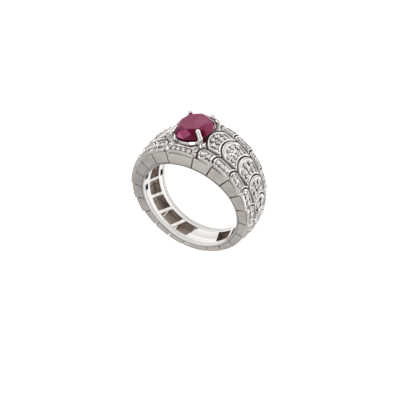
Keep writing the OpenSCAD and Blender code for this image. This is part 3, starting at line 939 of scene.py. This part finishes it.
def oval_brilliant(ring):
    """The ruby, with painted light on each facet, from painted shade to painted highlight."""
    stones = ring.stones
    a, b = stones.ruby_width / 2, stones.ruby_length / 2
    table, crown, pavilion = stones.ruby_table, stones.ruby_crown, stones.ruby_pavilion
    half = math.pi / SIDES
    star = (1 + table) / 2 / math.cos(half) - STAR_INSET
    star_height = GIRDLE + (crown - GIRDLE) * (1 - star * math.cos(half)) / (1 - table)
    bm = bmesh.new()
    tint = bm.faces.layers.float.new("tint")

    def level(count, reach, height, first=0.0):
        top = stones.ruby_height + height
        spots = [(reach * b * math.sin(t), -reach * a * math.cos(t)) for t in turns(count, first)]
        return [bm.verts.new(ring.point(top, x, z)) for x, z in spots]

    def facet(value, *corners):
        bm.faces.new(corners)[tint] = value

    middle = level(1, 0.0, crown)[0]
    tip = level(1, 0.0, -pavilion)[0]
    upper = level(SIDES, table, crown)
    stars = level(SIDES, star, star_height, half)
    high = level(2 * SIDES, 1.0, GIRDLE)
    low = level(2 * SIDES, 1.0, 0.0)
    bend = level(SIDES, BEND_SHARE, -RUBY_BEND * pavilion, half)
    for i in range(SIDES):
        j, h = (i + 1) % SIDES, (i - 1) % SIDES
        facet(TABLE_PAINTED_LIGHT[i], middle, upper[i], upper[j])
        facet(STAR_PAINTED_LIGHT[i], upper[i], stars[i], upper[j])
        facet(KITE_PAINTED_LIGHT[i], upper[i], stars[h], high[2 * i], stars[i])
        facet(BREAK_PAINTED_LIGHT[2 * i], stars[i], high[2 * i], high[2 * i + 1])
        facet(BREAK_PAINTED_LIGHT[2 * i + 1], stars[i], high[2 * i + 1], high[2 * j])
        facet(UPPER_PAVILION_PAINTED_LIGHT, low[2 * i], low[2 * i + 1], bend[i])
        facet(UPPER_PAVILION_PAINTED_LIGHT, low[2 * i + 1], low[2 * j], bend[i])
        facet(LOWER_PAVILION_PAINTED_LIGHT, low[2 * i], bend[i], bend[h])
        facet(LOWER_PAVILION_PAINTED_LIGHT, bend[i], tip, bend[h])
    for i in range(2 * SIDES):
        j = (i + 1) % len(high)
        facet(GIRDLE_PAINTED_LIGHT, high[i], high[j], low[j], low[i])
    return bm


def operator_pair(operation):
    """The plain and the reflected method of one operator."""
    options = {"operation": operation}
    return (
        lambda self, other: self.recipe.node("ShaderNodeMath", options, self, other)[0],
        lambda self, other: self.recipe.node("ShaderNodeMath", options, other, self)[0],
    )


class Term:
    """A socket of a node tree that can stand in sums and products."""

    def __init__(self, recipe, socket):
        self.recipe, self.socket = recipe, socket

    __add__, __radd__ = operator_pair("ADD")
    __sub__, __rsub__ = operator_pair("SUBTRACT")
    __mul__, __rmul__ = operator_pair("MULTIPLY")
    __truediv__, __rtruediv__ = operator_pair("DIVIDE")


class Recipe:
    """Builds a node tree: each node comes from its type, its options and what its sockets take."""

    def __init__(self, tree):
        self.tree = tree

    def node(self, kind, options=None, *values, **named):
        """Makes a node and returns its outputs; a value of None leaves a socket as it is."""
        made = self.tree.nodes.new(kind)
        for key, value in (options or {}).items():
            if key == "stops":
                self.ramp(made, value)
            else:
                setattr(made, key, value)
        named = {name.replace("_", " "): value for name, value in named.items()}
        for place, value in [*enumerate(values), *named.items()]:
            if isinstance(value, Term):
                self.tree.links.new(value.socket, made.inputs[place])
            elif value is not None:
                made.inputs[place].default_value = value
        return [Term(self, socket) for socket in made.outputs if socket.enabled]

    @staticmethod
    def ramp(made, stops):
        elements = made.color_ramp.elements
        while len(elements) < len(stops):
            elements.new(0.5)
        for element, (position, value) in zip(elements, stops):
            element.position = position
            element.color = value

    def mix(self, factor, a, b):
        """A blend of two colours; the last two inputs of the node are its colours."""
        unused = [None] * 5
        return self.node("ShaderNodeMix", {"data_type": "RGBA"}, factor, *unused, a, b)[0]

    def blend(self, factor, *stops):
        """A colour ramp through stops of (position, colour)."""
        return self.node("ShaderNodeValToRGB", {"stops": stops}, factor)[0]

    def noise(self, coordinates, scale, detail, roughness=0.5):
        """A noise value between 0 and 1."""
        options = {"Scale": scale, "Detail": detail, "Roughness": roughness}
        return self.node("ShaderNodeTexNoise", None, Vector=coordinates, **options)[0]

    def streaks(self, across, along, detail, scale=1.0, roughness=0.5):
        """Noise of so many spots to the metre across the finger axis, and so many along it."""
        coordinates = self.node("ShaderNodeTexCoord")[3]
        axis = Ring().axis
        lean = (0.0, -math.atan2(axis.x, axis.z), 0.0)
        turned = self.node("ShaderNodeMapping", None, Vector=coordinates, Rotation=lean)[0]
        placed = self.node("ShaderNodeMapping", None, Vector=turned, Scale=(across, across, along))[0]
        return self.noise(placed, scale, detail, roughness)

    def spots(self, scale, detail, roughness=0.5):
        """Noise of so many round spots to the metre."""
        return self.streaks(1.0, 1.0, detail, scale, roughness)

    def attribute(self, name):
        """A number that the mesh carries."""
        return self.node("ShaderNodeAttribute", {"attribute_name": name})[2]

    def bump(self, height, strength, depth):
        """A normal for low relief of a depth in metres."""
        return self.node("ShaderNodeBump", None, Strength=strength, Distance=depth, Height=height)[0]

    def surface(self, **sockets):
        """A principled surface, linked to the material's output."""
        shader = self.node("ShaderNodeBsdfPrincipled", None, **sockets)[0]
        self.node("ShaderNodeOutputMaterial", None, Surface=shader)

    def random(self, low, high, seed):
        """A random value for each element of a geometry; the node's other inputs are for other types."""
        options = {"data_type": "FLOAT"}
        return self.node("FunctionNodeRandomValue", options, None, None, low, high, *[None] * 4, seed)[0]

    def copies(self, places, shape, rotation=None, scale=None):
        """Real copies of a shape on places."""
        values = (places, None, shape, None, None, rotation, scale)
        instances = self.node("GeometryNodeInstanceOnPoints", None, *values)[0]
        return self.node("GeometryNodeRealizeInstances", None, instances)[0]

    def seated(self, places, shape, seed):
        """Copies of a shape on the stones' places, each as large as its stone and looking the same way."""
        aim = self.node("GeometryNodeInputNamedAttribute", {"data_type": "FLOAT_VECTOR"}, "aim")[0]
        width = self.node("GeometryNodeInputNamedAttribute", {"data_type": "FLOAT"}, "width")[0]
        upright = self.node("FunctionNodeAlignRotationToVector", {"axis": "Z"}, None, 1.0, aim)[0]
        spin = self.random(0.0, 2 * math.pi, seed)
        turn = self.node("FunctionNodeAxisAngleToRotation", None, (0.0, 0.0, 1.0), spin)[0]
        rotation = self.node("FunctionNodeRotateRotation", {"rotation_space": "LOCAL"}, upright, turn)[0]
        return self.copies(places, shape, rotation, width)


def grown_tree(name, sockets, build):
    """A Geometry Nodes tree with named inputs, which build fills in."""
    tree = bpy.data.node_groups.new(name, "GeometryNodeTree")
    for label, kind in (("Geometry", "Geometry"), *sockets):
        tree.interface.new_socket(name=label, in_out="INPUT", socket_type="NodeSocket" + kind)
    tree.interface.new_socket(name="Geometry", in_out="OUTPUT", socket_type="NodeSocketGeometry")
    recipe = Recipe(tree)
    given = recipe.node("NodeGroupInput")
    recipe.node("NodeGroupOutput", None, build(recipe, *given[:len(sockets) + 1]))
    return tree


def stone_tree():
    """Sets a cut stone on each place and gives each of its facets a random brightness of its own, painted
    flashes from dark to bright.
    """
    def build(recipe, places, stone, seed, finish):
        shape = recipe.node("GeometryNodeObjectInfo", {"transform_space": "ORIGINAL"}, stone)[-1]
        facets = recipe.seated(places, shape, seed)
        # Painted reflections: a random brightness for each facet
        tint = recipe.random(0.0, 1.0, seed)
        options = {"data_type": "FLOAT", "domain": "FACE"}
        facets = recipe.node("GeometryNodeStoreNamedAttribute", options, facets, None, "tint", tint)[0]
        return recipe.node("GeometryNodeSetMaterial", None, facets, None, finish)[0]

    return grown_tree("cut_stones", (("Stone", "Object"), ("Seed", "Int"), ("Finish", "Material")), build)


def grain_tree():
    """Raises round setting grains about each stone's place."""
    def build(recipe, places, radius, count, seed, finish):
        around = recipe.node("GeometryNodeMeshCircle", None, count, GRAIN_CIRCLE)[0]
        spots = recipe.seated(places, around, seed)
        ball = recipe.node("GeometryNodeMeshUVSphere", None, GRAIN_SEGMENTS, GRAIN_RINGS, radius)[0]
        grains = recipe.copies(spots, ball, scale=recipe.random(*GRAIN_SHARES, seed))
        grains = recipe.node("GeometryNodeSetShadeSmooth", None, grains, None, True)[0]
        return recipe.node("GeometryNodeSetMaterial", None, grains, None, finish)[0]

    sockets = (("Radius", "Float"), ("Count", "Int"), ("Seed", "Int"), ("Finish", "Material"))
    return grown_tree("setting_grains", sockets, build)


def grow(name, tree, seats, inputs):
    """Runs a tree on the stones' seats and keeps the result as a plain piece."""
    mesh = bpy.data.meshes.new(name)
    mesh.from_pydata([place for place, _, _ in seats], [], [])
    aim = mesh.attributes.new("aim", "FLOAT_VECTOR", "POINT")
    aim.data.foreach_set("vector", [c for _, normal, _ in seats for c in normal])
    width = mesh.attributes.new("width", "FLOAT", "POINT")
    width.data.foreach_set("value", [diameter for _, _, diameter in seats])
    seedbed = new_object(name + "_places", mesh)
    modifier = seedbed.modifiers.new("grown", "NODES")
    modifier.node_group = tree
    sockets = {item.name: item.identifier for item in tree.interface.items_tree if item.in_out == "INPUT"}
    for label, value in inputs.items():
        modifier[sockets[label]] = value
    evaluated = seedbed.evaluated_get(bpy.context.evaluated_depsgraph_get())
    grown = bpy.data.meshes.new_from_object(evaluated)
    bpy.data.objects.remove(seedbed)
    if not grown.polygons:
        raise RuntimeError(name + " came out empty")
    grown.name = name
    return new_object(name, grown)


def shade(base, factor=1.0):
    """A base colour made darker or brighter, with its alpha."""
    return (*(c * factor for c in base), 1.0)


def paint_brushed(recipe, finish):
    """Brushed side faces: a fine grain across the link, with soft patches."""
    grain = recipe.streaks(900.0, 9000.0, detail=4.0)
    patch = recipe.spots(420.0, detail=2.0)
    tint = recipe.mix(patch * 1.6 - 0.5 + grain * 0.4, shade(finish.satin, 0.76), shade(finish.satin))
    relief = recipe.bump(grain, strength=0.25, depth=0.02 * MM)
    recipe.surface(Base_Color=tint, Metallic=1.0, Roughness=0.3 + patch * 0.16 + grain * 0.08, Normal=relief)


def paint_bright(recipe, finish):
    """Polished rims, claws and grains, with faint wear."""
    wear = recipe.spots(700.0, detail=4.0)
    tint = recipe.mix(wear * 2.2 - 0.6, shade(finish.polished, 0.9), shade(finish.polished, 1.45))
    relief = recipe.bump(wear, strength=0.12, depth=0.02 * MM)
    recipe.surface(Base_Color=tint, Metallic=1.0, Roughness=0.06 + wear * 0.14, Normal=relief)


def paint_crescent(recipe, finish):
    """The broad heads of the scales, rougher than their rims and painted darker as shade."""
    wear = recipe.spots(900.0, detail=3.0)
    # Painted shade: the colour runs down to a dark share of the polished colour
    tint = recipe.mix(wear * 2.4 - 0.7, shade(finish.polished, 0.42), shade(finish.polished))
    recipe.surface(Base_Color=tint, Metallic=1.0, Roughness=0.3 + wear * 0.1)


def paint_sleeve(recipe, finish):
    """The polished sleeve, with painted reflections: bright and grey lines along its rims and long soft light
    and dark streaks round the ring.
    """
    streaks = recipe.streaks(60.0, 1500.0, detail=3.0)
    lines = [(place / SLEEVE_SPAN, shade(finish.polished, tone)) for place, tone in SLEEVE_REFLECTIONS]
    # Painted reflections: bright and grey lines along the rims, then darker streaks round the ring
    turned = recipe.blend(recipe.attribute("rim") / SLEEVE_SPAN, *lines)
    tint = recipe.mix(streaks * 3.6 - 0.9, shade(finish.polished, 0.62), turned)
    recipe.surface(Base_Color=tint, Metallic=1.0, Roughness=0.08 + streaks * 0.14)


def paint_shaded(recipe, finish):
    """The metal down in the slots, dulled, and darker as painted shade."""
    stain = recipe.spots(900.0, detail=3.0)
    # Painted shade for the slots, with darker spots
    tint = recipe.mix(stain, shade(finish.pit, 0.6), shade(finish.pit))
    recipe.surface(Base_Color=tint, Metallic=0.4, Roughness=0.35 + stain * 0.2)


def paint_pave(recipe, finish):
    """The bright cut metal between the diamonds, with painted shade in dark spots and painted glints in
    bright ones.
    """
    shade_glint_spots = recipe.spots(2600.0, detail=2.0, roughness=0.6)
    pave_shade, plain, glint = shade(finish.pit, 0.3), shade(finish.polished), shade(finish.polished, 1.5)
    # Painted shade and painted glints between the diamonds
    tint = recipe.blend(shade_glint_spots, (0.42, pave_shade), (0.52, plain), (0.64, glint))
    relief = recipe.bump(shade_glint_spots, strength=0.5, depth=0.06 * MM)
    recipe.surface(Base_Color=tint, Metallic=1.0, Roughness=0.18 + shade_glint_spots * 0.2, Normal=relief)


def paint_channel(recipe, finish):
    """The dull brown floor of the channel, streaked round the ring."""
    streaks = recipe.streaks(260.0, 5200.0, detail=3.0)
    tint = recipe.blend(streaks, (0.3, shade(finish.channel, 0.45)), (0.6, shade(finish.channel)))
    recipe.surface(Base_Color=tint, Metallic=0.3, Roughness=0.4 + streaks * 0.2)


def paint_ruby(recipe, finish):
    """Purplish red facets, each painted from deep shade to bright highlight, with faint silk inside."""
    silk = recipe.spots(900.0, detail=3.0)
    # The facets' painted light, spread a little by the silk
    depth = recipe.attribute("tint") + silk * 0.16 - 0.08
    deep, usual, bright = shade(finish.ruby_deep), shade(finish.ruby), shade(finish.ruby_bright)
    tint = recipe.blend(depth, (0.0, deep), (0.5, usual), (1.0, bright))
    recipe.surface(Base_Color=tint, Roughness=0.05 + silk * 0.05, IOR=1.3)


def paint_diamond(recipe, finish):
    """White facets, from dark flashes to bright ones."""
    cloud = recipe.spots(1800.0, detail=2.0)
    depth = recipe.attribute("tint") + cloud * 0.2 - 0.1
    flashes = [(place, shade(finish.diamond, tone)) for place, tone in DIAMOND_FLASHES]
    tint = recipe.blend(depth, *flashes)
    recipe.surface(Base_Color=tint, Roughness=0.06 + cloud * 0.05, IOR=1.7)


def paint_floor(recipe, finish):
    """A plain pale floor."""
    tint = recipe.mix(recipe.spots(20.0, detail=2.0), *FLOOR_TINTS)
    recipe.surface(Base_Color=tint, Roughness=0.6, Emission_Color=WHITE, Emission_Strength=0.8)


PAINTS = {
    "brushed_metal": paint_brushed,
    "bright_metal": paint_bright,
    "crescent_metal": paint_crescent,
    "sleeve_metal": paint_sleeve,
    "shaded_metal": paint_shaded,
    "pave_metal": paint_pave,
    "channel_metal": paint_channel,
    "cut_ruby": paint_ruby,
    "cut_diamond": paint_diamond,
    "pale_floor": paint_floor,
}


def material(name):
    """The finish of that name, made on first use."""
    made = bpy.data.materials.get(name)
    if made is None:
        made = bpy.data.materials.new(name)
        made.use_nodes = True
        made.node_tree.nodes.clear()
        PAINTS[name](Recipe(made.node_tree), settings()[2])
    return made


class RING_OT_scaled_links(Operator):
    """Build the side links that carry a middle scale and two leaves"""

    bl_idname = "ring.scaled_links"
    bl_label = "Scaled links"

    def execute(self, context):
        ring = Ring()
        for side in (LEFT, RIGHT):
            for k in range(1, SCALED_LINKS + 1):
                finish_side_link(self.link(ring, k), side, k)
        return {"FINISHED"}

    @staticmethod
    def link(ring, k):
        """The bmesh of scaled link k of the left side."""
        foot = ring.shoulder + ring.sizes.shoulder_gap
        bm = bmesh.new()
        swept_block(bm, ring, k, ring.joint(k), ring.joint(k + 1), scaled_section)
        flat_field(bm, floor_field(ring, k), foot, lambda top: max(top - ring.sizes.slot_depth, foot + BEVEL))
        rimmed_field(bm, scale_field(ring, k), foot, crescent=k > 1)
        for sign in (-1, 1):
            rimmed_field(bm, leaf_field(ring, k, sign), foot)
            rimmed_bar(bm, slot_bar_field(ring, k, sign), foot)
        for face in bm.faces:
            if all(abs(abs(link_frame(ring, v.co)[2]) - ring.zone(k)) < MERGE for v in face.verts):
                face.material_index = SATIN
        return bm


class RING_OT_plain_links(Operator):
    """Build the plain links at the back of the ring"""

    bl_idname = "ring.plain_links"
    bl_label = "Plain links"

    def execute(self, context):
        ring = Ring()
        for side in (LEFT, RIGHT):
            for k in range(SCALED_LINKS + 1, SIDE_LINKS + 1):
                finish_side_link(self.link(ring, k, ring.joint(k + 1)), side, k)
        back = SIDE_LINKS + 1
        finish_link(self.link(ring, back, 2 * math.pi - ring.joint(back)), "back_link")
        return {"FINISHED"}

    @staticmethod
    def link(ring, k, last):
        """The bmesh of plain link k, up to the angle of its last joint."""
        bm = bmesh.new()
        swept_block(bm, ring, k, ring.joint(k), last, plain_section)
        return bm


class RING_OT_sleeve(Operator):
    """Polish the sleeve inside the ring"""

    bl_idname = "ring.sleeve"
    bl_label = "Sleeve"

    def execute(self, context):
        ring = Ring()
        bm = merged_copy("inner_frame")
        everything = [*bm.verts, *bm.edges, *bm.faces]
        bmesh.ops.bisect_plane(bm, geom=everything, plane_co=ring.centre, plane_no=ring.axis)
        rim = bm.verts.layers.float.new("rim")
        for v in bm.verts:
            height, x, z = link_frame(ring, v.co)
            v[rim] = (ring.half_width(math.atan2(x, height)) - abs(z)) / MM
        finish = [material("sleeve_metal")]
        piece = finish_mesh("finished_sleeve", bm, finish, "inner_frame")
        round_normals(ring, piece.data)
        return {"FINISHED"}


class RING_OT_head_link(Operator):
    """Soften and finish the head link with its rails and claws"""

    bl_idname = "ring.head_link"
    bl_label = "Head link"

    def execute(self, context):
        ring = Ring()
        bm = merged_copy("head_link")
        soften(bm, HEAD_BEVEL)
        for face in bm.faces:
            face.material_index = head_tag(ring, face)
        finish_link(bm, "head_link")
        return {"FINISHED"}


class RING_OT_ruby(Operator):
    """Cut the ruby"""

    bl_idname = "ring.ruby"
    bl_label = "Ruby"

    def execute(self, context):
        bm = oval_brilliant(Ring())
        piece = finish_mesh("cut_ruby", bm, [material("cut_ruby")], "ruby")
        piece.data.shade_flat()
        return {"FINISHED"}


class RING_OT_diamonds(Operator):
    """Set the diamonds and raise the grains that hold them"""

    bl_idname = "ring.diamonds"
    bl_label = "Diamonds and grains"

    def execute(self, context):
        ring = Ring()
        stone = cut_stone()
        stones, grains = stone_tree(), grain_tree()
        seed = ring.stones.grain_seed
        set_stones = {"Stone": stone, "Seed": seed, "Finish": material("cut_diamond")}
        bright = material("bright_metal")
        raised = {"Radius": ring.stones.grain, "Count": GRAINS, "Seed": seed, "Finish": bright}
        for side, name in SIDE_NAMES.items():
            seats = stone_seats(ring, side)
            settle(grow("cut_diamonds_" + name, stones, seats, set_stones), "diamonds_" + name)
            settle(grow("setting_grains_" + name, grains, seats, raised), None)
        bpy.data.objects.remove(stone)
        return {"FINISHED"}


class RING_OT_stage(Operator):
    """Set up the floor, the sky, the lights and the camera"""

    bl_idname = "ring.stage"
    bl_label = "Stage"

    def execute(self, context):
        stage = settings()[3]
        self.floor(stage)
        self.sky(context.scene)
        self.lights()
        self.camera(context.scene, Ring(), stage)
        return {"FINISHED"}

    @staticmethod
    def floor(stage):
        bm = bmesh.new()
        bmesh.ops.create_circle(bm, cap_ends=True, radius=stage.floor_radius, segments=FLOOR_SIDES)
        mesh = new_mesh("floor", bm)
        mesh.materials.append(material("pale_floor"))
        new_object("floor", mesh)

    @staticmethod
    def sky(scene):
        """Greys that lighten upwards, uneven like a studio's panels."""
        scene.world = bpy.data.worlds.new("studio")
        scene.world.use_nodes = True
        recipe = Recipe(scene.world.node_tree)
        recipe.tree.nodes.clear()
        direction = recipe.node("ShaderNodeTexCoord")[0]
        height = recipe.node("ShaderNodeSeparateXYZ", None, direction)[2]
        panels = recipe.noise(direction, PANEL_SCALE, detail=1.0)
        greys = [(place, shade(grey)) for place, grey in SKY]
        light = recipe.blend(height + panels * PANEL_SHARE - PANEL_SHARE / 2, *greys)
        background = recipe.node("ShaderNodeBackground", None, Color=light, Strength=1.0)[0]
        recipe.node("ShaderNodeOutputWorld", None, Surface=background)
        scene.view_settings.view_transform = "Standard"

    @staticmethod
    def lights():
        for name, place, size, power in LIGHTS:
            data = bpy.data.lights.new(name, "AREA")
            data.shape = "DISK"
            data.size = size
            data.energy = power
            lamp = new_object(name, data)
            lamp.location = place
            lamp.rotation_euler = (-Vector(place)).to_track_quat("-Z", "Y").to_euler()

    @staticmethod
    def camera(scene, ring, stage):
        data = bpy.data.cameras.new("camera")
        data.lens = stage.lens
        data.sensor_width = SENSOR_WIDTH
        data.shift_x, data.shift_y = stage.shift
        data.clip_start = CLIP_START
        camera = new_object("camera", data)
        back = ring.point(*stage.camera_place) - ring.centre
        up = ring.point(*stage.camera_up) - ring.centre
        right = up.cross(back).normalized()
        up = back.cross(right).normalized()
        turn = Matrix((right, up, back.normalized())).transposed().to_4x4()
        camera.matrix_world = Matrix.Translation(ring.centre + back) @ turn
        scene.camera = camera


class RING_PT_panel(Panel):
    """Lists the ring's pieces in the sidebar"""

    bl_idname = "RING_PT_panel"
    bl_label = "Ring"
    bl_space_type = "VIEW_3D"
    bl_region_type = "UI"
    bl_category = "Ring"

    def draw(self, context):
        for operator in OPERATORS:
            self.layout.operator(operator.bl_idname)
        for group in settings():
            for name in group.__annotations__:
                self.layout.prop(group, name)


GROUPS = {
    "ring_sizes": RingSizes,
    "stone_sizes": StoneSizes,
    "ring_finish": RingFinish,
    "stage_sizes": StageSizes,
}
OPERATORS = (
    RING_OT_scaled_links,
    RING_OT_plain_links,
    RING_OT_sleeve,
    RING_OT_head_link,
    RING_OT_ruby,
    RING_OT_diamonds,
    RING_OT_stage,
)


def register():
    for name, group in GROUPS.items():
        bpy.utils.register_class(group)
        setattr(bpy.types.Scene, name, PointerProperty(type=group))
    for cls in (*OPERATORS, RING_PT_panel):
        bpy.utils.register_class(cls)


def unregister():
    for cls in (RING_PT_panel, *reversed(OPERATORS)):
        bpy.utils.unregister_class(cls)
    for name, group in GROUPS.items():
        delattr(bpy.types.Scene, name)
        bpy.utils.unregister_class(group)


def main():
    register()
    bpy.ops.ring.scaled_links()
    bpy.ops.ring.plain_links()
    bpy.ops.ring.sleeve()
    bpy.ops.ring.head_link()
    bpy.ops.ring.ruby()
    bpy.ops.ring.diamonds()
    bpy.ops.ring.stage()


if __name__ == "__main__":
    main()
